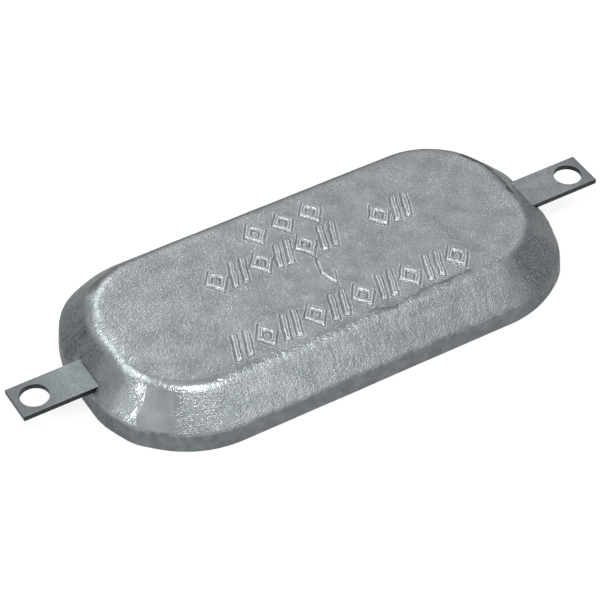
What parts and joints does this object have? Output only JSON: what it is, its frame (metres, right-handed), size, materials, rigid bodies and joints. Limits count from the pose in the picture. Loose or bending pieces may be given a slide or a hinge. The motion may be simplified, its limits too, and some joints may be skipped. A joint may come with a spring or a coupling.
{
  "type": "sacrificial anode",
  "caption": "Bolt-on zinc hull anode: a round-ended cast slab with sloping sides, cast round a flat galvanised steel strap with a bolt hole at each end.",
  "frame": {"origin": "middle of the flat underside, which lies against the hull", "axes": "+X along the strap, +Y across the block, +Z away from the hull"},
  "size_m": [0.3154, 0.1248, 0.0277],
  "materials": {
    "cast_zinc": "as-cast zinc, bluish mid grey, finely grained, dull with small bright glints",
    "galvanised_steel": "hot-dip galvanised, weathered satin grey, darker at the cut ends and in the holes"
  },
  "bodies": {
    "root": {"zinc_casting": "cast_zinc", "steel_strap": "galvanised_steel"}
  },
  "joints": []
}
